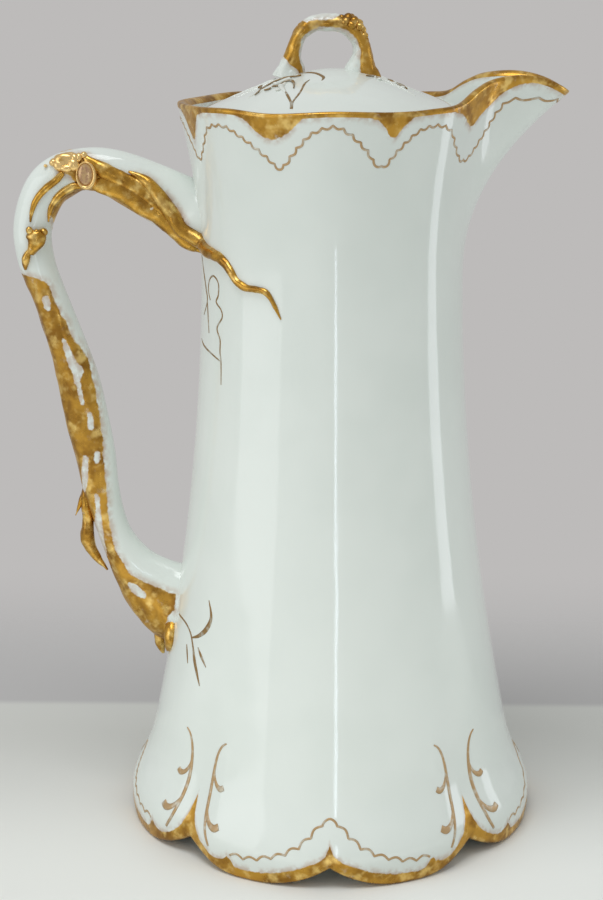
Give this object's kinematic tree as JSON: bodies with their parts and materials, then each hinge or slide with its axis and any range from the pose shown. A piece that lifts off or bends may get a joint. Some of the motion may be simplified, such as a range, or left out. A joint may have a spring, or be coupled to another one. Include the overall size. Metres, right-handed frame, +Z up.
{
  "type": "chocolate pot",
  "caption": "Tall fluted porcelain chocolate pot with a scalloped foot, a pouring lip, a gilded branch handle and a drop-in lid with a twig loop.",
  "frame": {"origin": "on the pot's own axis, on the surface it stands on, at the centre of the foot", "axes": "+Z up along the pot's axis, +X towards the pouring lip, so the handle is at -X, and +Y towards the back"},
  "size_m": [0.1646, 0.1254, 0.2455],
  "materials": {
    "white_porcelain": "opaque white porcelain under a clear, glossy glaze",
    "gilded_porcelain": "opaque porcelain relief with worn, sponged gilding"
  },
  "bodies": {
    "pot": {"pot_body": "white_porcelain", "lid_ledge": "white_porcelain", "handle": "white_porcelain", "top_knot": "gilded_porcelain", "cut_branch": "gilded_porcelain", "handle_bud": "gilded_porcelain", "handle_branch": "gilded_porcelain", "body_tendril": "gilded_porcelain", "leaf_strand": "gilded_porcelain", "leaf_spur": "gilded_porcelain", "side_leaf": "gilded_porcelain", "front_leaves": "gilded_porcelain"},
    "lid": {"lid": "white_porcelain", "lid_loop": "gilded_porcelain", "loop_flower": "gilded_porcelain", "lid_spray_left": "gilded_porcelain", "lid_spray_right": "gilded_porcelain"}
  },
  "joints": [
    {"name": "lid_lift", "type": "slide", "parent": "pot", "child": "lid", "axis": [0, 0, 1], "range_m": [0, 0.04]}
  ]
}
